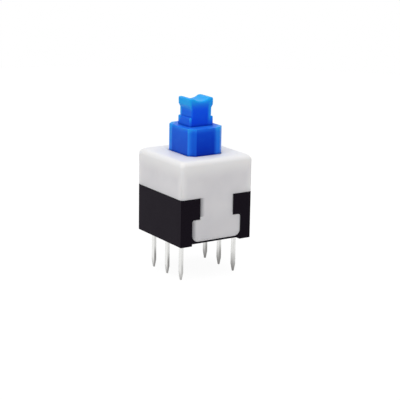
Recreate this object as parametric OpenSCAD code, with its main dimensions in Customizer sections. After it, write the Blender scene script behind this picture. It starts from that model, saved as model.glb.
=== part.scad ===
// Latching push button switch, two changeover poles, for a printed circuit board.
// Millimetres. The origin is the centre of the pin pattern on the board's face, +Z is up.
// The snap legs of the cover are on the faces that look along -Y and +Y.

/* [Housing] */
// Width of the cover along X
body_w = 8; // [7.6:0.1:9]
// Depth of the cover along Y
body_d = 8; // [7.8:0.1:9]
// Height of the base, from the board to the lower edge of the cover
base_h = 4.6; // [4.4:0.1:5.4]
// Height of the cover above the base
cover_h = 3.6; // [3.4:0.1:4.6]
// Step from the faces of the cover back to the faces of the base
base_inset = 0.05; // [0.02:0.01:0.1]

/* [Cover] */
// Wall of the cover
cover_wall = 0.8; // [0.7:0.05:0.9]
// Roof of the cover
roof_t = 1; // [0.8:0.1:1.2]
// Radius of the upright corners of the cover
corner_r = 0.3; // [0.2:0.05:0.6]
// Radius of the edge round the roof
roof_edge_r = 0.5; // [0.3:0.05:0.8]
// Radius of the corners of the roof's flat top
roof_corner_r = 0.45; // [0.3:0.05:0.8]
// Thickness of the snap legs
leg_t = 0.65; // [0.55:0.05:0.7]
// Width of a snap leg between the hooks of the base
leg_neck_w = 3.65; // [3.2:0.05:4.2]
// Width of the bar across the foot of a snap leg
leg_bar_w = 5.4; // [5:0.05:5.6]
// Height of the bar
leg_bar_h = 2.1; // [1.6:0.1:2.4]
// Radius of the lower corners of the bar
leg_foot_r = 0.65; // [0.3:0.05:0.8]
// Radius of the upper corners of the bar
leg_shoulder_r = 0.2; // [0.1:0.05:0.3]
// Gap round a snap leg in its pocket
leg_gap = 0.03; // [0.02:0.01:0.05]

/* [Base] */
// Height of the two rails that stand on the board
rail_h = 0.2; // [0.1:0.05:0.4]
// Width of a rail
rail_w = 1.25; // [1.1:0.05:1.4]
// Thickness of the floor
floor_t = 0.8; // [0.6:0.1:0.9]
// Height of the strip left under a snap leg
sill_h = 0.2; // [0.15:0.05:0.4]
// Wall behind a snap leg
back_wall_t = 0.35; // [0.3:0.05:0.4]
// Radius of the upright corners of the base
base_corner_r = 0.1; // [0.1:0.05:0.4]
// Height of the spigots that centre the cover
spigot_h = 0.6; // [0.3:0.1:0.8]
// Length of a spigot along Y
spigot_len = 4; // [3:0.1:5]
// Gap between a spigot and the cover
spigot_gap = 0.03; // [0.02:0.01:0.05]

/* [Plunger] */
// Width of the square part of the plunger along X
block_w = 3.8; // [3.6:0.1:4]
// Depth of the square part of the plunger along Y
block_d = 4.5; // [4.4:0.1:4.6]
// Chamfer of its upright corners
block_chamfer = 0.55; // [0.3:0.05:0.7]
// Height of the square part above the roof
block_rise = 2.6; // [2.4:0.1:3.4]
// Width of the head along X
head_w = 2.6; // [2.2:0.1:3]
// Depth of the head along Y
head_d = 2.2; // [1.8:0.1:3]
// Height of the head
head_h = 2.7; // [2.4:0.1:3.4]
// Height of the foot of the head, below the notches
notch_foot_h = 0.9; // [0.6:0.05:1]
// Height of the flat of a notch, which a cap snaps into
notch_h = 0.8; // [0.5:0.05:0.9]
// Height of the slope from a notch out to the top of the head
notch_slope_h = 0.35; // [0.2:0.05:0.45]
// Depth of a notch
notch_t = 0.2; // [0.1:0.05:0.3]
// Depth of the saddle across the top of the head
saddle_t = 0.3; // [0.1:0.05:0.4]
// Width of the ridge left on either side of the saddle
ridge_w = 0.4; // [0.2:0.05:0.5]
// Gap between the plunger and the hole in the roof
guide_gap = 0.06; // [0.04:0.01:0.1]
// Full travel of the plunger
travel = 2.2; // [2:0.1:2.3]
// Travel at which the latch holds the plunger down
lock_travel = 1.5; // [1.4:0.05:1.6]
// Width of the stop wings across X
wing_w = 4.9; // [4.7:0.1:5.1]
// Height of the stop wings
wing_h = 0.6; // [0.4:0.1:0.7]
// Gap between the wings and the roof at rest
stop_gap = 0.02; // [0.01:0.01:0.05]
// Gap left under the plunger at full travel
bottom_gap = 0.7; // [0.65:0.05:0.8]
// Width of the guide rib on the back of the plunger
rib_w = 0.7; // [0.5:0.1:0.9]
// Height of the guide rib off the plunger
rib_t = 0.45; // [0.3:0.05:0.5]
// Gap on each side of the guide rib
rib_gap = 0.05; // [0.03:0.01:0.08]

/* [Terminals] */
// Pitch of the pins along Y
pin_pitch = 2.5; // [2.4:0.1:2.5]
// Distance between the two rows of pins
row_spacing = 6; // [5.8:0.1:6.2]
// Width of a pin along Y
pin_w = 0.5; // [0.4:0.05:0.6]
// Thickness of the strip that the terminals are stamped from
pin_t = 0.25; // [0.2:0.05:0.3]
// Length of the pins below the board's face
pin_len = 3.65; // [3:0.05:4]
// Length of the tapered tip
tip_h = 0.75; // [0.4:0.05:1]
// Width of the end of the tip
tip_w = 0.18; // [0.1:0.02:0.24]
// Thickness of the end of the tip
tip_t = 0.14; // [0.08:0.02:0.18]
// Width of the blade of a common terminal
common_w = 0.9; // [0.7:0.1:1.1]
// Height of the contact flag of a changeover terminal
flag_h = 1; // [0.8:0.1:1.1]
// Distance from the top of the base down to the top of the blades
blade_drop = 0.2; // [0.1:0.05:0.3]
// Gap between a terminal and the plastic moulded round it
mould_gap = 0.01; // [0.005:0.005:0.02]

/* [Moving contacts] */
// Thickness of the contact strip
clip_t = 0.12; // [0.08:0.01:0.14]
// Width of a contact finger
finger_w = 0.5; // [0.3:0.05:0.5]
// Distance of the outer fingers from the middle one
finger_pitch = 1.9; // [1.85:0.05:1.9]
// Height of the plate that carries the fingers
plate_h = 1.1; // [0.9:0.1:1.2]
// Gap between a finger and the blade that it wipes
contact_gap = 0.015; // [0.01:0.005:0.03]
// Diameter of the pegs that hold a contact
peg_d = 0.5; // [0.4:0.05:0.6]
// Distance between the two pegs
peg_spacing = 2; // [1.6:0.1:2.4]
// Gap round a contact and its pegs
clip_gap = 0.02; // [0.01:0.01:0.04]

/* [Return spring] */
// Outside diameter of the spring
spring_od = 2.4; // [2.2:0.1:2.5]
// Diameter of the spring wire
spring_wire_d = 0.25; // [0.2:0.01:0.28]
// Number of turns
spring_turns = 8; // [6:0.5:10]
// Gap round the spring in the bore of the plunger
spring_gap = 0.15; // [0.1:0.05:0.15]
// Distance from the roof up to the closed end of the bore
bore_rise = 0.8; // [0.4:0.1:1.4]
// Height of the boss that centres the spring
boss_h = 0.6; // [0.4:0.1:0.7]
// Gap between the boss and the inside of the spring
boss_gap = 0.15; // [0.1:0.05:0.25]

/* [Latch] */
// Diameter of the latch wire
wire_d = 0.36; // [0.3:0.02:0.4]
// Radial gap round the foot of the wire in its pivot
pivot_gap = 0.02; // [0.01:0.01:0.04]
// Gap between the plunger and the upright of the wire
wire_standoff = 0.15; // [0.1:0.01:0.18]
// Room left for the leaf to bow outwards
leaf_play = 0.09; // [0.06:0.01:0.12]
// Depth of the heart-shaped track in the plunger
track_t = 0.45; // [0.3:0.05:0.5]
// Gap on each side of the wire in the track
track_gap = 0.08; // [0.06:0.01:0.1]
// Sideways swing of the wire at full travel
track_swing = 0.75; // [0.6:0.05:0.85]
// Thickness of the leaf that keeps the wire in the track
leaf_t = 0.1; // [0.06:0.01:0.1]
// Width of the leaf
leaf_w = 1.6; // [1.2:0.1:2]

/* [Hidden] */

$fn = 40;
// Length by which a cut runs past the face it opens
past = 0.5;
// Depth by which a rib or a boss is rooted in the wall that carries it
root = 0.1;
// Thickness of the slices of the cover's outside, and the angle from one to the next
slice_t = 0.001;
edge_step = 15;

// Heights of the main planes
floor_z = rail_h + floor_t;
seam_z = base_h;
roof_z = base_h + cover_h;
ceiling_z = roof_z - roof_t;
block_z = roof_z + block_rise;
head_z = block_z + head_h;
wing_z = ceiling_z - stop_gap;
plunger_z = floor_z + bottom_gap + travel;
bore_z = roof_z + bore_rise;
blade_z = seam_z - blade_drop;

// The base, its pockets and its inner faces
base_w = body_w - 2 * base_inset;
base_d = body_d - 2 * base_inset;
row_x = row_spacing / 2;
inner_x = row_x - pin_t / 2;
leg_y = body_d / 2 - leg_t;
inner_y = leg_y - leg_gap - back_wall_t;
guide_rib_w = 0.5;
bar_z = rail_h + sill_h;

// Lower body of the plunger: what the wire and the leaf leave of the room inside the base
wire_r = wire_d / 2;
leaf_gap = 0.02;
latch_room = wire_standoff + wire_d + leaf_gap + leaf_t + leaf_play;
stem_y = inner_y - latch_room;
block_root = 0.3;

// The cover rests on the base with its cavity over the spigots
cavity_x = body_w / 2 - cover_wall;
cavity_y = body_d / 2 - cover_wall;

// Saddle across the head: a cylinder through the inner edges of both ridges
saddle_half = head_w / 2 - ridge_w;
saddle_r = (pow(saddle_half, 2) + pow(saddle_t, 2)) / (2 * saddle_t);

// Moving contacts: the plate lies in a pocket below the wing, the fingers reach the blades
clip_x = block_w / 2 - clip_gap - clip_t / 2;
plate_top_z = wing_z - wing_h - 2 * clip_gap;
plate_z = plate_top_z - plate_h;
wipe_x = inner_x - contact_gap - clip_t / 2;
wipe_z = blade_z - flag_h / 2;
finger_run = 0.35;
finger_shank = 0.455;
finger_lift = 0.25;
finger_room = 0.4;
peg_rise = 0.12;

// Upper flags are closed contacts at rest, lower flags at the latched height
blade_lift = 0.1;
flag_lift = 0.2;
flag_inner_y = finger_pitch - finger_w / 2;
upper_flag_z = blade_z - flag_h;
lower_flag_top_z = wipe_z - lock_travel + flag_h / 2;
lower_flag_z = floor_z + flag_lift;

// Spring and its seats
spring_r = (spring_od - spring_wire_d) / 2;
bore_r = spring_od / 2 + spring_gap;
boss_r = spring_od / 2 - spring_wire_d - boss_gap;
wire_sides = 8;
coil_steps = 20;

// Latch: the wire turns about its foot, and its head runs in the track
wire_y = stem_y + wire_standoff + wire_r;
bend_r = 0.3;
pivot_lift = 0.05;
pivot_z = floor_z + wire_r + pivot_lift;
pivot_r = wire_r + pivot_gap;
pivot_wall = 0.14;
pivot_depth = 0.7;
pivot_block_w = 1;
pivot_block_y = wire_y - bend_r;
latch_rise = 0.45;
latch_z = plunger_z + latch_rise;
track_r = wire_r + track_gap;
track_floor_y = stem_y - track_t;
end_gap = 0.06;
wire_tip_y = track_floor_y + end_gap;

// Leaf: rooted in the floor, upright along the wall, out to a crest behind the wire
leaf_sink = 0.5;
leaf_upright = 0.6;
leaf_crest_drop = 0.75;
leaf_y = inner_y - leaf_t / 2 - leaf_gap / 2;
leaf_crest_y = wire_y + wire_r + leaf_t / 2 + leaf_gap;
leaf_root_z = floor_z - leaf_sink;

// Corners of the heart track, sideways and upwards from the wire's resting place
track_start = [0, 0];
track_end = [track_swing, travel];
track_seat = [0.05, lock_travel];
track_turn = [-0.6, travel - 0.15];
track_side = [-0.6, 1.15];

// ---------------------------------------------------------------- shared shapes

// Rectangle with round corners, centred, made of squares and circles
module round_rect(w, d, r) {
  square([w - 2 * r, d], center = true);
  square([w, d - 2 * r], center = true);
  for (x = [-1, 1], y = [-1, 1])
    translate([x * (w / 2 - r), y * (d / 2 - r)]) circle(r);
}

// Rectangle with its corners cut off at 45 degrees, centred
module cut_rect(w, d, c) {
  x = w / 2;
  y = d / 2;
  polygon([[c - x, -y], [x - c, -y], [x, c - y], [x, y - c],
           [x - c, y], [c - x, y], [-x, y - c], [-x, c - y]]);
}

// Block between two opposite corners
module block(low, high) {
  translate(low) cube(high - low);
}

// Profile drawn as [x, z], carried along Y over the given length, centred on y = 0
module along_y(length) {
  translate([0, length / 2, 0]) rotate([90, 0, 0]) linear_extrude(length) children();
}

// Profile drawn as [y, z], carried along X over the given length, centred on x = 0
module along_x(length) {
  translate([-length / 2, 0, 0]) rotate([90, 0, 90]) linear_extrude(length) children();
}

// Strip of thickness t along a bent line in the plane of the drawing
module strip_line(points, t) {
  for (i = [0 : len(points) - 2]) {
    run = points[i + 1] - points[i];
    translate(points[i]) rotate(atan2(run.y, run.x)) translate([0, -t / 2]) square([norm(run), t]);
  }
  for (p = points) translate(p) circle(t / 2);
}

// Both ends of one axis: the children, and the children turned half round about Z
module both_ways() {
  children();
  rotate([0, 0, 180]) children();
}

// ---------------------------------------------------------------- cover

// Outline of a snap leg as [x, z], with the gap g added all round
module leg_outline(g) {
  bar_w = leg_bar_w + 2 * g;
  top = bar_z + leg_bar_h + g;
  low = bar_z - g;
  foot_r = leg_foot_r + g;
  shoulder_r = leg_shoulder_r;
  translate([-leg_neck_w / 2 - g, low + foot_r])
    square([leg_neck_w + 2 * g, seam_z - low - foot_r + past]);
  translate([foot_r - bar_w / 2, low]) square([bar_w - 2 * foot_r, foot_r]);
  translate([-bar_w / 2, low + foot_r]) square([bar_w, top - low - foot_r - shoulder_r]);
  translate([shoulder_r - bar_w / 2, top - shoulder_r])
    square([bar_w - 2 * shoulder_r, shoulder_r]);
  for (side = [-1, 1]) {
    translate([side * (bar_w / 2 - foot_r), low + foot_r]) circle(foot_r);
    translate([side * (bar_w / 2 - shoulder_r), top - shoulder_r]) circle(shoulder_r);
  }
}

// Level slice of the cover's outside, with its upper face at the height z
module cover_slice(z, inset, r) {
  translate([0, 0, z - slice_t]) linear_extrude(slice_t)
    round_rect(body_w - 2 * inset, body_d - 2 * inset, r, $fn = 24);
}

// Outside of the cover: the slices draw in along the round edge of the roof, and their
// corners grow rounder on the way
module cover_outside() {
  hull() {
    cover_slice(seam_z + slice_t, 0, corner_r);
    for (a = [0 : edge_step : 90])
      cover_slice(roof_z - roof_edge_r * (1 - sin(a)), roof_edge_r * (1 - cos(a)),
                  corner_r + (roof_corner_r - corner_r) * sin(a));
  }
}

module cover() {
  color("whitesmoke") {
    difference() {
      cover_outside();
      translate([0, 0, seam_z - past]) linear_extrude(ceiling_z - seam_z + past)
        round_rect(2 * cavity_x, 2 * cavity_y, corner_r / 2);
      translate([0, 0, ceiling_z - past]) linear_extrude(roof_t + 2 * past)
        cut_rect(block_w + 2 * guide_gap, block_d + 2 * guide_gap, block_chamfer);
    }
    both_ways() translate([0, leg_y + leg_t / 2, 0]) along_y(leg_t) leg_outline(0);
  }
}

// ---------------------------------------------------------------- base

// Tub with rails under it, open at the top and pocketed for the snap legs
module tub() {
  difference() {
    linear_extrude(seam_z) round_rect(base_w, base_d, base_corner_r);
    block([-inner_x, -inner_y, floor_z], [inner_x, inner_y, seam_z + past]);
    block([rail_w - base_w / 2, -base_d / 2 - past, -past],
          [base_w / 2 - rail_w, base_d / 2 + past, rail_h]);
    both_ways() translate([0, leg_y - leg_gap + leg_t, 0]) along_y(2 * leg_t)
      leg_outline(leg_gap);
  }
}

// Two ribs on the wall at -Y that guide the rib of the plunger
module guide_ribs() {
  near = rib_w / 2 + rib_gap;
  for (side = [-1, 1])
    translate([side * (near + guide_rib_w / 2), 0, 0])
      block([-guide_rib_w / 2, -inner_y - root, floor_z - root],
            [guide_rib_w / 2, -stem_y - rib_gap, seam_z]);
}

// Block on the floor that the foot of the latch wire turns in
module pivot_block() {
  difference() {
    block([-pivot_block_w / 2, pivot_block_y - pivot_depth - pivot_wall, floor_z - root],
          [pivot_block_w / 2, pivot_block_y, pivot_z + pivot_r + pivot_wall]);
    translate([0, pivot_block_y + past, pivot_z]) rotate([90, 0, 0])
      cylinder(r = pivot_r, h = pivot_depth + past);
  }
}

module base() {
  color([0.13, 0.12, 0.14]) difference() {
    union() {
      tub();
      guide_ribs();
      pivot_block();
      translate([0, 0, floor_z - root]) cylinder(r = boss_r, h = root + boss_h);
      both_ways()
        block([inner_x, -spigot_len / 2, seam_z - root],
              [cavity_x - spigot_gap, spigot_len / 2, seam_z + spigot_h]);
    }
    all_terminals(mould_gap);
    along_x(leaf_w + 2 * mould_gap)
      translate([leaf_y - leaf_t / 2 - mould_gap, leaf_root_z - mould_gap])
        square([leaf_t + 2 * mould_gap, floor_z - leaf_root_z + past]);
  }
}

// ---------------------------------------------------------------- plunger

// Profile of the head as [x, z]: foot, notch with a flat shelf, slope, top
module head_profile() {
  x = head_w / 2;
  z1 = block_z + notch_foot_h;
  z2 = z1 + notch_h;
  z3 = z2 + notch_slope_h;
  waist = x - notch_t;
  right = [[x, block_z - past], [x, z1], [waist, z1], [waist, z2], [x, z3], [x, head_z]];
  left = [for (i = [len(right) - 1 : -1 : 0]) [-right[i].x, right[i].y]];
  polygon(concat(right, left));
}

module head() {
  difference() {
    along_y(head_d) head_profile();
    translate([0, 0, head_z - saddle_t + saddle_r]) along_y(head_d + 2 * past)
      circle(saddle_r, $fn = 96);
  }
}

// Slot with round ends from p to q in the drawing plane
module slot(p, q, r) {
  strip_line([p, q], 2 * r);
}

// Heart track: out along one side, down into the seat, up and back along the other side
module heart_track() {
  stops = [track_start, track_end, track_seat, track_turn, track_side, track_start];
  for (i = [0 : len(stops) - 2]) slot(stops[i], stops[i + 1], track_r);
}

module contact_pocket() {
  block([block_w / 2 - clip_t - 2 * clip_gap, -stem_y - past, plate_z - finger_room],
        [block_w / 2 + past, stem_y + past, plate_top_z + clip_gap]);
}

module pegs() {
  for (side = [-1, 1])
    translate([clip_x - clip_t / 2 - clip_gap - root, side * peg_spacing / 2,
               plate_z + plate_h / 2])
      rotate([0, 90, 0]) cylinder(d = peg_d, h = root + clip_gap + clip_t + peg_rise);
}

module plunger() {
  color([0.05, 0.30, 0.85]) {
    head();
    difference() {
      union() {
        translate([0, 0, wing_z - block_root]) linear_extrude(block_z - wing_z + block_root)
          cut_rect(block_w, block_d, block_chamfer);
        translate([0, 0, plunger_z]) linear_extrude(wing_z - plunger_z)
          cut_rect(block_w, 2 * stem_y, block_chamfer);
        block([-wing_w / 2, block_chamfer - block_d / 2, wing_z - wing_h],
              [wing_w / 2, block_d / 2 - block_chamfer, wing_z]);
        block([-rib_w / 2, -stem_y - rib_t, plunger_z], [rib_w / 2, 0, wing_z]);
      }
      translate([0, 0, plunger_z - past]) cylinder(r = bore_r, h = bore_z - plunger_z + past);
      translate([0, stem_y - track_t / 2 + past / 2, latch_z]) along_y(track_t + past)
        heart_track();
      both_ways() contact_pocket();
    }
    both_ways() pegs();
  }
}

// ---------------------------------------------------------------- terminals

// Pin and its tapered tip as [y, z], up to the height top, with the gap g added all round
module pin_outline(top, g) {
  half = pin_w / 2 + g;
  end = tip_w / 2 + g;
  polygon([[-half, top], [-half, tip_h - pin_len], [-end, -pin_len - g],
           [end, -pin_len - g], [half, tip_h - pin_len], [half, top]]);
}

// Side view of a pin as [x, z]: thinner towards the end of its tip
module pin_side(g) {
  half = pin_t / 2 + g;
  end = tip_t / 2 + g;
  polygon([[-half, seam_z], [-half, tip_h - pin_len], [-end, -pin_len - g],
           [end, -pin_len - g], [half, tip_h - pin_len], [half, seam_z]]);
}

// A terminal stamped from strip: the outline is a child, the strip lies across X at row_x
module stamping(side, y, g) {
  translate([side * row_x, y, 0]) intersection() {
    along_x(pin_t + 2 * g) children();
    along_y(4 * pin_pitch) pin_side(g);
  }
}

// Common terminal: a straight blade behind the middle finger
module common_terminal(side, g) {
  stamping(side, 0, g) {
    pin_outline(blade_z + g, g);
    translate([-common_w / 2 - g, floor_z + blade_lift - g])
      square([common_w + 2 * g, blade_z - floor_z - blade_lift + 2 * g]);
  }
}

// Changeover terminal: a flag reaches from the stem at y = way * pin_pitch to the outer finger
module flag_terminal(side, way, low, high, g) {
  reach = pin_pitch - flag_inner_y;
  stamping(side, way * pin_pitch, g) {
    pin_outline(high + g, g);
    translate([way > 0 ? -reach - g : -pin_w / 2 - g, low - g])
      square([reach + pin_w / 2 + 2 * g, high - low + 2 * g]);
  }
}

// Closed while the plunger is up
module nc_terminal(side, g) {
  flag_terminal(side, 1, upper_flag_z, blade_z, g);
}

// Closed while the plunger is latched down
module no_terminal(side, g) {
  flag_terminal(side, -1, lower_flag_z, lower_flag_top_z, g);
}

module all_terminals(g) {
  for (side = [-1, 1]) {
    nc_terminal(side, g);
    common_terminal(side, g);
    no_terminal(side, g);
  }
}

module terminal_nc_left() {
  color("silver") nc_terminal(-1, 0);
}

module terminal_common_left() {
  color("silver") common_terminal(-1, 0);
}

module terminal_no_left() {
  color("silver") no_terminal(-1, 0);
}

module terminal_nc_right() {
  color("silver") nc_terminal(1, 0);
}

module terminal_common_right() {
  color("silver") common_terminal(1, 0);
}

module terminal_no_right() {
  color("silver") no_terminal(1, 0);
}

// ---------------------------------------------------------------- moving contacts

// Finger as [x, z]: out from the foot of the plate, over the crest that wipes, and back in
module finger_profile() {
  strip_line([[clip_x, plate_z], [wipe_x - finger_lift, wipe_z + finger_shank],
              [wipe_x, wipe_z + finger_run / 2], [wipe_x, wipe_z - finger_run / 4],
              [wipe_x - finger_lift, wipe_z - finger_run]], clip_t);
}

module moving_contact() {
  color("goldenrod") {
    difference() {
      block([clip_x - clip_t / 2, -finger_pitch - finger_w / 2, plate_z],
            [clip_x + clip_t / 2, finger_pitch + finger_w / 2, plate_top_z]);
      for (side = [-1, 1])
        translate([clip_x - past, side * peg_spacing / 2, plate_z + plate_h / 2])
          rotate([0, 90, 0]) cylinder(d = peg_d + 2 * clip_gap, h = 2 * past);
    }
    for (y = [-finger_pitch, 0, finger_pitch])
      translate([0, y, 0]) along_y(finger_w) finger_profile();
  }
}

module moving_contact_left() {
  rotate([0, 0, 180]) moving_contact();
}

module moving_contact_right() {
  moving_contact();
}

// ---------------------------------------------------------------- return spring

// Height of the wire's centre after t turns: one flat turn at each end, even pitch between
function coil_z(t) =
  let (low = floor_z + spring_wire_d / 2, high = bore_z - spring_wire_d / 2,
       open_turns = spring_turns - 2,
       flat = spring_wire_d * 1.02,
       pitch = (high - low - 2 * flat) / open_turns)
  t < 1 ? low + flat * t
  : t > spring_turns - 1 ? high - flat * (spring_turns - t)
  : low + flat + pitch * (t - 1);

// One ring of points round the wire, after t turns
function coil_ring(t) =
  [for (k = [0 : wire_sides - 1])
    let (a = 360 * t, b = 360 * k / wire_sides, r = spring_r + spring_wire_d / 2 * cos(b))
    [r * cos(a), r * sin(a), coil_z(t) + spring_wire_d / 2 * sin(b)]];

module return_spring() {
  rings = ceil(spring_turns * coil_steps);
  points = [for (i = [0 : rings]) each coil_ring(spring_turns * i / rings)];
  sides = [for (i = [0 : rings - 1], k = [0 : wire_sides - 1])
    let (n = (k + 1) % wire_sides, a = i * wire_sides, b = a + wire_sides)
    [a + k, b + k, b + n, a + n]];
  first = [for (k = [0 : wire_sides - 1]) k];
  last = [for (k = [wire_sides - 1 : -1 : 0]) rings * wire_sides + k];
  color("gainsboro") polyhedron(points, concat([first], sides, [last]));
}

// ---------------------------------------------------------------- latch

// Round bend of the wire that turns from the upright towards -Y
module wire_bend() {
  rotate([90, 0, 90]) rotate_extrude(angle = 90)
    translate([bend_r, 0]) circle(wire_r, $fn = 24);
}

module latch_wire() {
  color("lightsteelblue") {
    translate([0, wire_y, pivot_z + bend_r])
      cylinder(r = wire_r, h = latch_z - pivot_z - 2 * bend_r, $fn = 24);
    translate([0, wire_y - bend_r, latch_z - bend_r]) wire_bend();
    translate([0, wire_y - bend_r, pivot_z + bend_r]) mirror([0, 0, 1]) wire_bend();
    translate([0, wire_y - bend_r, latch_z]) rotate([90, 0, 0])
      cylinder(r = wire_r, h = wire_y - bend_r - wire_tip_y, $fn = 24);
    translate([0, wire_y - bend_r, pivot_z]) rotate([90, 0, 0])
      cylinder(r = wire_r, h = pivot_depth - end_gap, $fn = 24);
  }
}

module latch_leaf() {
  color("lightgray") along_x(leaf_w)
    strip_line([[leaf_y, leaf_root_z + leaf_t / 2], [leaf_y, floor_z + leaf_upright],
                [leaf_crest_y, latch_z - leaf_crest_drop], [leaf_y - leaf_gap, blade_z]],
               leaf_t);
}

cover();
base();
plunger();
terminal_nc_left();
terminal_common_left();
terminal_no_left();
terminal_nc_right();
terminal_common_right();
terminal_no_right();
moving_contact_left();
moving_contact_right();
return_spring();
latch_wire();
latch_leaf();
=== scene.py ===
# %% [markdown]
# # A latching push button switch
#
# The object is a board switch 8 mm square: a white nylon cover snapped onto a black
# polyester base, a blue acetal plunger, and six tin-plated pins. Its solids come from the
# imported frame. This lesson gives them the soft edges, the finishes and the light that the
# real one has. Everything is in metres, in the frame's own axes: +Z up, the snap legs on the
# faces that look along -Y and +Y.

# %% Load the frame
import math

import bmesh
import bpy
import numpy as np
from mathutils import Matrix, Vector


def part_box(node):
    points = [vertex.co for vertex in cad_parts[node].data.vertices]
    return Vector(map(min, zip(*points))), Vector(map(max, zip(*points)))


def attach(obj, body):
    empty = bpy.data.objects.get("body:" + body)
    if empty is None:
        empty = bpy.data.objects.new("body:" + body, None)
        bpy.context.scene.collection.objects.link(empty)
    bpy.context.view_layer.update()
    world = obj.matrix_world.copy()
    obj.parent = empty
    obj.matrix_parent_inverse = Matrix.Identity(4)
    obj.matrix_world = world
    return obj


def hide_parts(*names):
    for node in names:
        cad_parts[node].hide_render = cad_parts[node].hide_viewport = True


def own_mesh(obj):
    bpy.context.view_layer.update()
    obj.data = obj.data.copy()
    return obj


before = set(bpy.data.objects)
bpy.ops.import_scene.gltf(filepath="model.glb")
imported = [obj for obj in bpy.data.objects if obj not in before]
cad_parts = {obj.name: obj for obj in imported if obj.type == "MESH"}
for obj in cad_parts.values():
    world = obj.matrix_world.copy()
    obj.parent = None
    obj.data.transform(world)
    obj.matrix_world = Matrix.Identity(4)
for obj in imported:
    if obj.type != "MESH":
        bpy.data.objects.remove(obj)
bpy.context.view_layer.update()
MM = 0.001
scene = bpy.context.scene
print("nodes:", ", ".join(sorted(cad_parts)))

# %% [markdown]
# Most sizes below are read off the solids, so that the dressing follows them if they change.
# The others are the part's own: the seam and the snap leg, and the steps of the plunger.

# %% Heights and widths
cover_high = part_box("cover")[1]
half_w, half_d = cover_high.x, cover_high.y
roof_z = cover_high.z
seam_z = 4.6 * MM
NECK_W, BAR_W, BAR_TOP = 3.65 * MM, 5.4 * MM, 2.8 * MM
head_top_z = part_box("plunger")[1].z
block_top_z = head_top_z - 2.7 * MM
notch_z = block_top_z + 0.9 * MM
pin_tip_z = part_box("terminal_common_left")[0].z
print(f"housing {2 * half_w / MM:.2f} x {2 * half_d / MM:.2f} mm, roof at {roof_z / MM:.2f} mm")

# %% [markdown]
# ## Helpers for materials
#
# A colour is easiest to read as the hex value that a paint program shows. Blender's shaders
# work in linear light, so one function turns the hex value over. One more adds a node, sets
# it up and links it. The rest are short names for what the materials do again and again, so
# that each material is down to the lines that make it special.


# %% Colour and node helpers
def linear(hex_colour):
    """Each sRGB channel c from 0 to 1 becomes c / 12.92 below 0.04045, and otherwise
    ((c + 0.055) / 1.055) to the power 2.4."""
    c = np.array([int(hex_colour[i:i + 2], 16) for i in (1, 3, 5)]) / 255
    c = np.where(c <= 0.04045, c / 12.92, ((c + 0.055) / 1.055) ** 2.4)
    return (*c.tolist(), 1.0)


def add(tree, kind, values=None, links=None, **settings):
    """Adds a node: settings are its properties, values its sockets' numbers and colours, and
    links the outputs that feed its sockets, both by socket name or number."""
    node = tree.nodes.new(kind)
    for name, value in settings.items():
        setattr(node, name, value)
    for name, value in (values or {}).items():
        node.inputs[name].default_value = value
    for name, output in (links or {}).items():
        tree.links.new(output, node.inputs[name])
    return node


def new_material(name):
    """An empty material, with its node tree and the object's own coordinates in metres."""
    material = bpy.data.materials.new(name)
    material.use_nodes = True
    tree = material.node_tree
    tree.nodes.clear()
    coordinates = add(tree, "ShaderNodeTexCoord").outputs["Object"]
    return material, tree, coordinates


print("mid grey, #808080, is", round(linear("#808080")[0], 3), "in linear light")

# %% Sums and fades on numbers or outputs
OPERATIONS = {"+": "ADD", "-": "SUBTRACT", "*": "MULTIPLY", "max": "MAXIMUM",
              ">": "GREATER_THAN", "<": "LESS_THAN", "abs": "ABSOLUTE"}


def feed(tree, socket, value):
    """Sets a socket to a number or a colour, or links an output to it."""
    if isinstance(value, (int, float, tuple)):
        socket.default_value = value
    else:
        tree.links.new(value, socket)


def calc(tree, a, operation, b=0.0, clamp=False):
    """The output of one sum, written in its own order: calc(tree, x, "+", y)."""
    node = add(tree, "ShaderNodeMath", operation=OPERATIONS[operation], use_clamp=clamp)
    feed(tree, node.inputs[0], a)
    feed(tree, node.inputs[1], b)
    return node.outputs[0]


def fade(tree, value, low, high, at_low=0.0, at_high=1.0, smooth=True):
    """The output that goes from at_low to at_high as value goes from low to high."""
    node = add(tree, "ShaderNodeMapRange",
               interpolation_type="SMOOTHSTEP" if smooth else "LINEAR")
    for name, number in (("Value", value), ("From Min", low), ("From Max", high),
                         ("To Min", at_low), ("To Max", at_high)):
        feed(tree, node.inputs[name], number)
    return node.outputs["Result"]


def xyz(tree, vector):
    return add(tree, "ShaderNodeSeparateXYZ", links={"Vector": vector}).outputs


def normal(tree):
    """The face's own direction in the object's axes, as x, y and z."""
    return xyz(tree, add(tree, "ShaderNodeTexCoord").outputs["Normal"])


print("sums:", " ".join(OPERATIONS))

# %% Noise, tones and surfaces
BUMP_HEIGHT = 0.01 * MM


def noise(tree, place, size_mm, detail):
    """Blotches about this many millimetres across, from 0 to 1."""
    return add(tree, "ShaderNodeTexNoise", {"Scale": 1 / (size_mm * MM), "Detail": detail},
               {"Vector": place}).outputs["Fac"]


def ramp(tree, share, *stops):
    """The colour at that share, between stops that are pairs of a share and a hex colour."""
    node = add(tree, "ShaderNodeValToRGB", links={"Fac": share})
    elements = node.color_ramp.elements
    for element, (position, colour) in zip(list(elements), (stops[0], stops[-1])):
        element.position, element.color = position, linear(colour)
    for position, colour in stops[1:-1]:
        elements.new(position).color = linear(colour)
    return node.outputs["Color"]


def blend(tree, share, a, b):
    """Colour a where share is 0 and b where it is 1. b is an output or a hex colour."""
    node = add(tree, "ShaderNodeMix", links={"Factor": share, "A": a}, data_type="RGBA")
    feed(tree, node.inputs["B"], linear(b) if isinstance(b, str) else b)
    return node.outputs["Result"]


def end_with(tree, shader):
    add(tree, "ShaderNodeOutputMaterial", links={"Surface": shader.outputs[0]})


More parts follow.
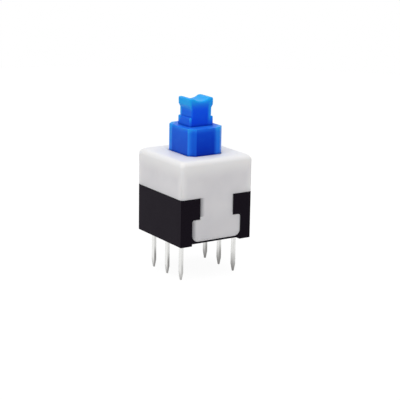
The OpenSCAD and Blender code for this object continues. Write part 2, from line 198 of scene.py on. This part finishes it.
def surface(tree, colour, roughness, height, strength, values):
    """A principled shader with a small bump from height, linked to the material's output."""
    bump = add(tree, "ShaderNodeBump", {"Strength": strength, "Distance": BUMP_HEIGHT},
               {"Height": height})
    end_with(tree, add(tree, "ShaderNodeBsdfPrincipled", values,
                       {"Base Color": colour, "Roughness": roughness,
                        "Normal": bump.outputs["Normal"]}))


print("bumps are", BUMP_HEIGHT / MM, "mm high at full strength")

# %% [markdown]
# ## Natural nylon, moulded
#
# The cover is unpigmented white nylon. Light goes a little way in before it comes out, which
# softens the shading at the round edges. The mould was spark-eroded, so the skin has a very
# fine grain and a satin gloss. The real grain is near 0.03 mm; it is drawn 0.09 mm across so
# that it just shows.
#
# Light and shade are painted into the nylon. It is paler along the upright corners and round the
# roof, a painted highlight where those edges catch the light. A snap leg is a little greyer
# towards its foot and much greyer along its edges, most of all on the side at -X: this is
# painted shade.

# %% Where light and shade are painted on the nylon
def painted_highlight_share(tree, at, x, y):
    """Painted highlight: up to 0.6 at an upright corner, by |x| + |y|, and 1 in the last 0.5 mm
    below the roof.
    """
    corner = fade(tree, calc(tree, x, "+", y), half_w + half_d - 0.9 * MM,
                  half_w + half_d - 0.25 * MM, 0.0, 0.6)
    return calc(tree, corner, "max", fade(tree, at["Z"], roof_z - 2.0 * MM, roof_z - 0.5 * MM))


def painted_leg_shade(tree, at, x):
    """Painted shade on the snap leg. Below the seam, 0.85 at the leg's edge and 0 at a strip's
    width from it, plus a term that grows to 0.07 at the foot. The leg is as wide as its bar
    below BAR_TOP, and as its neck above it. The strip is 0.5 mm wide at -X and 0.2 mm at +X."""
    half_leg = fade(tree, calc(tree, at["Z"], "<", BAR_TOP), 0, 1, NECK_W / 2, BAR_W / 2)
    strip = fade(tree, calc(tree, at["X"], ">", 0), 0, 1, 0.5 * MM, 0.2 * MM)
    edge = fade(tree, calc(tree, half_leg, "-", x), -0.1 * MM, strip, 0.85, 0)
    edge = calc(tree, edge, "*", calc(tree, at["Z"], "<", seam_z))
    return calc(tree, edge, "+", fade(tree, at["Z"], 1.5 * MM, seam_z, 0.07, 0), True)


print("snap leg", NECK_W / MM, "mm wide at its neck and", BAR_W / MM, "mm at its bar")

# %% Cover: natural white nylon
def nylon():
    material, tree, place = new_material("natural_white_nylon")
    at = xyz(tree, place)
    x, y = calc(tree, at["X"], "abs"), calc(tree, at["Y"], "abs")
    tone = ramp(tree, noise(tree, place, 2.2, 3), (0.3, "#E2E0E3"), (0.7, "#E9E7E9"))
    # Painted highlight along the upright corners and round the roof.
    tone = blend(tree, painted_highlight_share(tree, at, x, y), tone, "#F3F2F2")
    # Painted shade along the snap leg's edges and towards its foot.
    tone = blend(tree, painted_leg_shade(tree, at, x), tone, "#7C7B80")
    grain = noise(tree, place, 0.09, 2)
    surface(tree, tone, fade(tree, grain, 0, 1, 0.42, 0.54, False), grain, 0.08, {
        "IOR": 1.53, "Specular IOR Level": 0.4, "Subsurface Weight": 0.6,
        "Subsurface Radius": (1.0, 0.95, 0.9), "Subsurface Scale": 0.9 * MM})
    return material


cover_nylon = nylon()
print("made", cover_nylon.name)

# %% [markdown]
# ## Black polyester with glass fibre
#
# The base is moulded in black PBT with short glass fibres, which carries the terminals
# without creeping. It is nearly black, with a faint violet cast from its carbon and resin.
# What the eye reads is the skin: a broad, weak sheen that is stronger on the faces seen at a
# slant, and tiny pale flecks where fibres lie close below the surface.

# %% Base: black glass-filled polyester
def black_polyester():
    material, tree, place = new_material("black_glass_filled_polyester")
    fibres = noise(tree, place, 0.12, 4)
    tone = ramp(tree, fibres, (0.35, "#0C090E"), (0.75, "#18131B"))
    flow = noise(tree, place, 1.6, 3)
    surface(tree, tone, fade(tree, flow, 0, 1, 0.38, 0.52, False), fibres, 0.12, {
        "IOR": 1.5, "Specular IOR Level": 0.05, "Specular Tint": linear("#F6E2FF"),
        "Sheen Weight": 0.02, "Sheen Tint": linear("#D79CFF")})
    return material


base_pbt = black_polyester()
print("made", base_pbt.name)

# %% [markdown]
# ## Blue acetal, moulded
#
# Acetal is milky by nature, so a blue one lets light in. Where a corner is thin, light crosses
# it and comes out pale and bright; in the middle of a thick face only the deep blue is left.
# Subsurface scattering alone would need a strong lamp behind the piece to show this, so light is
# painted into the colour, which runs from deep to pale: painted light towards the upright
# corners, towards the top of the square part and of the head, and a little on the narrow side
# faces. How far a point lies out towards a corner is |x| + |y|, which is constant along the 45
# degree chamfers. The head is smaller than the block below it, so its points are moved out by
# the difference first.

# %% Painted light on the blue
BLOCK_CORNER, HEAD_CORNER = 3.6 * MM, 2.3 * MM
NEAR_LOW, NEAR_HIGH = -3.2 * MM, -1.2 * MM


# Painted light where a thin corner lets light through.
def corner_glow(tree, at, on_head):
    """1 from 0.3 reach inside a chamfer outwards, and 0 from reach inwards. reach is 0.12 mm at
    the corner with the lowest x + y and 0.85 mm at the others. At the first the glow drops by
    0.65 towards +X, and at the corner with the highest x - y by 0.28. At the foot of the head
    it drops by 0.7."""
    shift = calc(tree, on_head, "*", BLOCK_CORNER - HEAD_CORNER)
    across = calc(tree, calc(tree, at["X"], "+", at["Y"]), "-", shift)
    along = calc(tree, at["X"], "-", at["Y"])
    out = calc(tree, calc(tree, at["X"], "abs"), "+", calc(tree, at["Y"], "abs"))
    out = calc(tree, out, "+", shift)
    reach = fade(tree, across, NEAR_LOW, NEAR_HIGH, 0.12 * MM, 0.85 * MM)
    glow = fade(tree, out, calc(tree, BLOCK_CORNER, "-", reach),
                calc(tree, BLOCK_CORNER, "-", calc(tree, reach, "*", 0.3)))
    turn = calc(tree, fade(tree, along, -0.45 * MM, 0.6 * MM), "*",
                fade(tree, across, NEAR_LOW, NEAR_HIGH, 0.65, 0.0))
    glow = calc(tree, glow, "*", calc(tree, 1.0, "-", turn))
    glow = calc(tree, glow, "*", fade(tree, along, 1.5 * MM, 3 * MM, 1, 0.72))
    foot = calc(tree, on_head, "*", fade(tree, at["Z"], block_top_z, notch_z, 0.7, 0))
    return calc(tree, glow, "*", calc(tree, 1.0, "-", foot))


def painted_light_and_flow(tree, place, at):
    """From 0, deep, to 1, pale: painted light. It is the larger of the corner and side terms,
    plus a term for the block's top, or the head's top term where that is more, and then a little
    noise, the blue's own uneven tone."""
    side = calc(tree, normal(tree)["X"], "abs")
    on_head = calc(tree, at["Z"], ">", block_top_z + 0.01 * MM)
    block_top = calc(tree, calc(tree, 1.0, "-", on_head), "*",
                     fade(tree, at["Z"], block_top_z - 0.5 * MM, block_top_z, 0.0, 0.45))
    head_top = fade(tree, calc(tree, at["Z"], "+", calc(tree, side, "*", 0.5 * MM)),
                    head_top_z - 1.2 * MM, head_top_z - 0.1 * MM)
    glow = calc(tree, corner_glow(tree, at, on_head), "max", calc(tree, side, "*", 0.28))
    glow = calc(tree, calc(tree, glow, "+", block_top), "max", head_top)
    flow = fade(tree, noise(tree, place, 0.9, 3), 0, 1, -0.1, 0.1, False)
    return calc(tree, glow, "+", flow, True)


print("chamfers of the block at |x| + |y| =", BLOCK_CORNER / MM, "mm")

# %% Plunger: blue acetal
def blue_acetal():
    """One ramp of tones for the foot of the block and one for the head, blended over z; the
    foot's tones are deeper, painted shade where the block goes into the housing. Ambient
    occlusion darkens the inner corners: painted shade."""
    material, tree, place = new_material("blue_acetal")
    at = xyz(tree, place)
    glow = painted_light_and_flow(tree, place, at)
    low = ramp(tree, glow, (0, "#0A32BA"), (0.5, "#2164E2"), (1, "#3A8AFA"))
    high = ramp(tree, glow, (0, "#1860FA"), (0.5, "#247EF8"), (1, "#2AAEFF"))
    # Painted shade: the blue is deeper towards the roof of the housing.
    tone = blend(tree, fade(tree, at["Z"], roof_z, head_top_z - 1.0 * MM, smooth=False),
                 low, high)
    # Painted shade: ambient occlusion darkens the inner corners towards #062196.
    air = add(tree, "ShaderNodeAmbientOcclusion", {"Distance": 0.5 * MM}, samples=12)
    tone = blend(tree, fade(tree, air.outputs["AO"], 0.35, 0.8, 0.75, 0, False), tone, "#062196")
    grain = noise(tree, place, 0.12, 2)
    surface(tree, tone, fade(tree, grain, 0, 1, 0.32, 0.42, False), grain, 0.06, {
        "IOR": 1.48, "Specular IOR Level": 0.07, "Specular Tint": linear("#3FB4FF"),
        "Sheen Weight": 0.12, "Sheen Roughness": 0.4, "Sheen Tint": linear("#48B4FF"),
        "Subsurface Weight": 0.5, "Subsurface Radius": (0.1, 0.4, 1.0),
        "Subsurface Scale": 0.4 * MM})
    return material


plunger_pom = blue_acetal()
print("made", plunger_pom.name)

# %% [markdown]
# ## Metals
#
# The terminals are brass strip, stamped and then tin-plated. Tin is a soft bright white metal,
# and the strip's rolling and the drag of the punch leave fine lines along the pins. Inside are
# phosphor bronze contacts and stainless spring wire. One function makes all three, because
# they differ only in colour, gloss and the direction of their lines.

# %% Where painted shade darkens the pins
def painted_reflection_shade(tree, place, reflected_shade):
    """Painted shade: it stands in for the shaded floor and body that the pins reflect. The faces
    along Y are darker by the given share in the lower half and by a quarter of it near the
    housing, times 0.55 on the pins with low y. The tips are dark all round: by 0.75 of the share
    over 1.2 mm in the row at -X, and by 1.1 of it over 2.2 mm in the row at +X."""
    at = xyz(tree, place)
    edge = calc(tree, calc(tree, normal(tree)["Y"], "abs"), "*",
                fade(tree, at["Z"], 0.35 * pin_tip_z, 0.7 * pin_tip_z, 0.25 * reflected_shade, reflected_shade))
    edge = calc(tree, edge, "*", fade(tree, at["Y"], -2 * MM, -1 * MM, 0.55, 1))
    far = fade(tree, at["X"], -1 * MM, 1 * MM)
    up = calc(tree, pin_tip_z + 1.2 * MM, "+", calc(tree, far, "*", 1.0 * MM))
    most = calc(tree, fade(tree, far, 0, 1, 0.75, 1.1), "*", reflected_shade)
    return calc(tree, edge, "max", fade(tree, at["Z"], pin_tip_z, up, most, 0))


print(f"pin tips at {pin_tip_z / MM:.2f} mm")

# %% Terminals, contacts and springs
def drawn_metal(name, dark, pale, rough_low, rough_high, line_mm, stretch, reflected_shade=0.0):
    """Lines are noise whose scale along Z is 1 / stretch of its scale across."""
    material, tree, place = new_material(name)
    along = add(tree, "ShaderNodeMapping", {"Scale": (1, 1, 1 / stretch)}, {"Vector": place})
    lines = noise(tree, along.outputs["Vector"], line_mm, 4)
    tone = ramp(tree, lines, (0.3, dark), (0.7, pale))
    # Painted shade where the pins reflect the shaded floor and body.
    if reflected_shade:
        tone = blend(tree, painted_reflection_shade(tree, place, reflected_shade), tone, "#6E6B69")
    surface(tree, tone, fade(tree, lines, 0, 1, rough_low, rough_high, False), lines, 0.15,
            {"Metallic": 1.0})
    return material


terminal_tin = drawn_metal("tin_plated_brass", "#E8E8E5", "#FBFBFA", 0.16, 0.28, 0.06, 14, 0.75)
contact_bronze = drawn_metal("phosphor_bronze", "#B98554", "#D3A070", 0.25, 0.4, 0.08, 8)
spring_steel = drawn_metal("stainless_spring_wire", "#B4B4B6", "#CFCFD1", 0.22, 0.34, 0.05, 3)
print("made", terminal_tin.name, contact_bronze.name, spring_steel.name)

# %% [markdown]
# ## Soft edges on the solids
#
# A solid from CAD has edges of no width, and nothing moulded or stamped is like that: an edge
# shows because its small radius catches light. The shapes are right, so each visible solid is
# copied, its loose triangles are merged, and the flat ones are joined. A Bevel modifier then
# rounds the edges that are given a weight, and Weighted Normal keeps the big faces flat.

# %% A copy of a solid with rounded edges
EDGE_ANGLE = math.radians(30)
FLAT_ANGLE = math.radians(0.5)
MERGE_DISTANCE = 0.0002 * MM


def merged(mesh, split_z):
    """Merges the mesh's vertices and flat faces, cuts its faces at split_z, and returns the
    signed angle at each edge."""
    work = bmesh.new()
    work.from_mesh(mesh)
    bmesh.ops.remove_doubles(work, verts=work.verts, dist=MERGE_DISTANCE)
    bmesh.ops.dissolve_limit(work, angle_limit=FLAT_ANGLE, verts=work.verts, edges=work.edges)
    if split_z is not None:
        bmesh.ops.bisect_plane(work, geom=[*work.verts, *work.edges, *work.faces],
                               plane_co=(0, 0, split_z), plane_no=(0, 0, 1))
    work.to_mesh(mesh)
    angle = np.array([e.calc_face_angle_signed(0) for e in work.edges])
    work.free()
    return angle


def edge_middles(mesh):
    """The mean of each edge's two ends, one row each."""
    co = np.zeros(len(mesh.vertices) * 3)
    mesh.vertices.foreach_get("co", co)
    ends = np.zeros(len(mesh.edges) * 2, np.int32)
    mesh.edges.foreach_get("vertices", ends)
    return co.reshape(-1, 3)[ends.reshape(-1, 2)].mean(1)


def softened(node, name, radius, zone, split_z=None):
    """Copies a node and rounds its convex edges over 30 degrees. zone takes an array of edge
    middles, one row each, and returns the share of the radius, from 0 to 1, that each gets."""
    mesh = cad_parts[node].data.copy()
    mesh.name = name
    mesh.materials.clear()
    piece = bpy.data.objects.new(name, mesh)
    scene.collection.objects.link(piece)
    angle = merged(mesh, split_z)
    chosen = (angle > EDGE_ANGLE) * zone(edge_middles(mesh)).astype(np.float32)
    weight = mesh.attributes.new("bevel_weight_edge", "FLOAT", "EDGE")
    weight.data.foreach_set("value", chosen)
    mesh.polygons.foreach_set("use_smooth", np.ones(len(mesh.polygons), bool))
    mesh.set_sharp_from_angle(angle=EDGE_ANGLE)
    bevel = piece.modifiers.new("rounded_edges", "BEVEL")
    bevel.limit_method = "WEIGHT"
    bevel.width = radius
    bevel.segments = 3
    bevel.use_clamp_overlap = True
    normals = piece.modifiers.new("flat_faces_stay_flat", "WEIGHTED_NORMAL")
    normals.keep_sharp = True
    print(f"{name}: {len(mesh.polygons)} faces, "
          f"{np.count_nonzero(chosen)} of {len(chosen)} edges rounded")
    return piece


def dress(piece, node, body, material):
    piece.data.materials.append(material)
    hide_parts(node)
    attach(piece, body)


# %% Cover, with the edges that are seen from outside rounded
def on_the_outside(middle):
    outside = (np.abs(middle[:, 0]) > half_w - 0.05 * MM) | (
        np.abs(middle[:, 1]) > half_d - 0.05 * MM)
    return outside | (middle[:, 2] > roof_z - 0.01 * MM)


cover = softened("cover", "cover_soft", 0.08 * MM, on_the_outside)
dress(cover, "cover", "housing", cover_nylon)

# %% Base, with its outside and its foot rounded
def on_the_base(middle):
    outside = (np.abs(middle[:, 0]) > half_w - 0.2 * MM) | (
        np.abs(middle[:, 1]) > half_d - 0.1 * MM)
    return outside | (middle[:, 2] < 0.01 * MM)


base = softened("base", "base_soft", 0.04 * MM, on_the_base)
dress(base, "base", "housing", base_pbt)

# %% Plunger
HIDDEN_Z = roof_z - 0.8 * MM


def more_at_the_top(middle):
    """The full radius on the head's top, 0.7 of it on the head's sides, 0.4 on the block, and
    none on what stays inside the housing."""
    z = middle[:, 2]
    share = np.where(z > block_top_z + 0.05 * MM, 0.7, 0.4)
    share = np.where(z > head_top_z - 0.4 * MM, 1.0, share)
    return np.where(z > HIDDEN_Z, share, 0)


plunger = softened("plunger", "plunger_soft", 0.15 * MM, more_at_the_top, HIDDEN_Z)
dress(plunger, "plunger", "plunger", plunger_pom)

# %% Terminals, rounded up to just above the board's face
PIN_TOP_Z = 0.3 * MM

for name in sorted(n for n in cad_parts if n.startswith("terminal")):
    pin = softened(name, name + "_soft", 0.04 * MM, lambda m: m[:, 2] < PIN_TOP_Z, PIN_TOP_Z)
    dress(pin, name, "housing", terminal_tin)

# %% [markdown]
# ## Return spring
#
# The spring gets shorter as the plunger goes down, which a solid that rides on a body can't do.
# It is drawn again as a round wire on a helix. Its two end turns lie flat, and the others are
# evenly spaced.

# %% Coil
SPRING_TURNS, WIRE_R, SIDES, STEPS = 8, 0.125 * MM, 12, 40
spring_low, spring_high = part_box("return_spring")
coil_r = spring_high.x - WIRE_R


def coil_surface():
    """At t turns the wire's centre is at radius coil_r, angle 2 pi t and height z(t), which
    rises by 2.04 WIRE_R in the first and last turn and evenly between. Round that centre, a
    ring point at angle b is out by WIRE_R cos b and up by WIRE_R sin b."""
    t = np.linspace(0, SPRING_TURNS, SPRING_TURNS * STEPS + 1)
    low, high, flat = spring_low.z + WIRE_R, spring_high.z - WIRE_R, 2.04 * WIRE_R
    z = np.interp(t, [0, 1, SPRING_TURNS - 1, SPRING_TURNS],
                  [low, low + flat, high - flat, high])
    b = np.linspace(0, 2 * np.pi, SIDES, endpoint=False)
    out = coil_r + WIRE_R * np.cos(b)[None, :]
    angle = 2 * np.pi * t[:, None]
    points = np.stack([out * np.cos(angle), out * np.sin(angle),
                       z[:, None] + WIRE_R * np.sin(b)[None, :]], 2)
    here = np.arange(len(t) * SIDES).reshape(len(t), SIDES)
    after = np.roll(here, -1, axis=1)
    quads = np.stack([here[:-1], here[1:], after[1:], after[:-1]], 2).reshape(-1, 4)
    return points.reshape(-1, 3), [*quads.tolist(), here[0].tolist(), here[-1][::-1].tolist()]


coil_points, coil_faces = coil_surface()
coil_mesh = bpy.data.meshes.new("return_spring_coil")
coil_mesh.from_pydata(coil_points.tolist(), [], coil_faces)
coil_mesh.polygons.foreach_set("use_smooth", np.ones(len(coil_faces), bool))
coil = bpy.data.objects.new("return_spring_coil", coil_mesh)
scene.collection.objects.link(coil)
dress(coil, "return_spring", "housing", spring_steel)
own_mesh(coil)

# %% Other inner pieces keep their solids and get their metals
inner = {"moving_contact_left": contact_bronze, "moving_contact_right": contact_bronze,
         "latch_wire": spring_steel, "latch_leaf": spring_steel}
for name, material in inner.items():
    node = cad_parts[name]
    node.data.materials.clear()
    node.data.materials.append(material)
print("inner pieces:", ", ".join(inner))

# %% [markdown]
# ## Floor and world
#
# The switch stands on its pin tips on a plain white floor. The floor is an ordinary diffuse
# surface, so it takes the shadow and throws light back up. The rays that come from the camera,
# or by way of a glossy or clear surface, see a share of plain white in it. That lifts it to the
# white of the backdrop, to the eye and in the pins, while the light that it throws onto the
# plastic stays that of paper.

# %% Floor
FLOOR_R = 130 * MM
WHITE_SHARE, GLOSS_SHARE, WHITE_LEVEL = 0.85, 0.6, 1.1


def white_floor():
    material, tree, place = new_material("white_paper_floor")
    tone = ramp(tree, noise(tree, place, 3, 2), (0, "#E2E2E2"), (1, "#E6E6E6"))
    paper = add(tree, "ShaderNodeBsdfDiffuse", links={"Color": tone})
    path = add(tree, "ShaderNodeLightPath").outputs
    bounced = calc(tree, path["Is Glossy Ray"], "max", path["Is Transmission Ray"])
    share = calc(tree, calc(tree, path["Is Camera Ray"], "*", WHITE_SHARE), "+",
                 calc(tree, bounced, "*", GLOSS_SHARE))
    white = add(tree, "ShaderNodeEmission", {"Strength": WHITE_LEVEL})
    end_with(tree, add(tree, "ShaderNodeMixShader",
                       links={0: share, 1: paper.outputs[0], 2: white.outputs[0]}))
    return material


turn = np.linspace(0, 2 * np.pi, 97)[:-1]
ring = np.stack([FLOOR_R * np.cos(turn), FLOOR_R * np.sin(turn),
                 np.full_like(turn, pin_tip_z)], 1)
floor_mesh = bpy.data.meshes.new("floor")
floor_mesh.from_pydata(ring.tolist(), [], [list(range(len(ring)))])
floor = bpy.data.objects.new("floor", floor_mesh)
scene.collection.objects.link(floor)
floor_mesh.materials.append(white_floor())
print(f"floor at {pin_tip_z / MM:.2f} mm")

# %% World: white to the eye, dimmer as a lamp
WORLD_LIGHT = 0.5
world = bpy.data.worlds.new("studio")
scene.world = world
world.use_nodes = True
tree = world.node_tree
tree.nodes.clear()
path = add(tree, "ShaderNodeLightPath").outputs
seen = calc(tree, path["Is Camera Ray"], "+", path["Is Glossy Ray"], True)
seen = calc(tree, seen, "+", path["Is Transmission Ray"], True)
sky = add(tree, "ShaderNodeBackground", {"Color": (1, 1, 1, 1)},
          {"Strength": fade(tree, seen, 0, 1, WORLD_LIGHT, 1.0, False)})
add(tree, "ShaderNodeOutputWorld", links={"Surface": sky.outputs[0]})
print("world light", WORLD_LIGHT)

# %% [markdown]
# ## Lamps
#
# One large soft box hangs above, a little to the left and behind, so the top is brightest and
# the left face a little brighter than the front. A weak one on the left lifts that side.

# %% Soft boxes
TARGET_HEIGHT = 4.0 * MM


def pointed(right, up, back, place):
    """The matrix of a lamp or camera at place, which looks against back."""
    matrix = Matrix(np.stack([right, up, back], 1).tolist()).to_4x4()
    matrix.translation = place.tolist()
    return matrix


def soft_box(name, azimuth, elevation, distance, size, level):
    """A round lamp that looks at the switch. A white matte face there, turned to the lamp,
    has a brightness of level: its irradiance is pi level, and a far lamp gives power / (pi
    distance squared), so the power is level times pi squared times distance squared."""
    lamp = bpy.data.lights.new(name, "AREA")
    lamp.shape = "DISK"
    lamp.size = size
    lamp.energy = level * math.pi ** 2 * distance ** 2
    a, e = math.radians(azimuth), math.radians(elevation)
    back = np.array([math.sin(a) * math.cos(e), -math.cos(a) * math.cos(e), math.sin(e)])
    right = np.array([math.cos(a), math.sin(a), 0])
    box = bpy.data.objects.new(name, lamp)
    box.matrix_world = pointed(right, np.cross(back, right), back,
                               back * distance + [0, 0, TARGET_HEIGHT])
    scene.collection.objects.link(box)
    print(f"{name}: {lamp.energy:.4f} W")


soft_box("top_box", azimuth=-50, elevation=74, distance=0.30, size=0.45, level=0.69)
soft_box("left_box", azimuth=-80, elevation=20, distance=0.30, size=0.25, level=0.05)

# %% [markdown]
# ## Camera
#
# The camera stands low and close, 33 degrees round from the front face and 14 degrees up.
# Its place is a target on the switch plus a distance, so that it can be read as a person
# would set it up.

# %% Camera
AZIMUTH, ELEVATION, ROLL = math.radians(33.06), math.radians(14.35), math.radians(0.97)
DISTANCE = 130 * MM
TARGET_RIGHT, TARGET_UP = 0.562 * MM, -0.654 * MM
LENS_MM, SENSOR_MM = 120.6, 36.0

back = np.array([-math.sin(AZIMUTH) * math.cos(ELEVATION),
                 -math.cos(AZIMUTH) * math.cos(ELEVATION), math.sin(ELEVATION)])
level = np.array([math.cos(AZIMUTH), -math.sin(AZIMUTH), 0])
upright = np.cross(back, level)
right = math.cos(ROLL) * level + math.sin(ROLL) * upright
up = math.cos(ROLL) * upright - math.sin(ROLL) * level
target = np.array([0, 0, TARGET_HEIGHT]) + TARGET_RIGHT * level + TARGET_UP * upright
lens = bpy.data.cameras.new("camera")
lens.lens = LENS_MM
lens.sensor_width = SENSOR_MM
lens.clip_start = 1 * MM
camera = bpy.data.objects.new("camera", lens)
camera.matrix_world = pointed(right, up, back, target + back * DISTANCE)
scene.collection.objects.link(camera)
scene.camera = camera
scene.view_settings.view_transform = "Standard"
print("camera at", [round(x / MM, 2) for x in camera.matrix_world.translation], "mm")

# %% The end
bpy.context.view_layer.update()
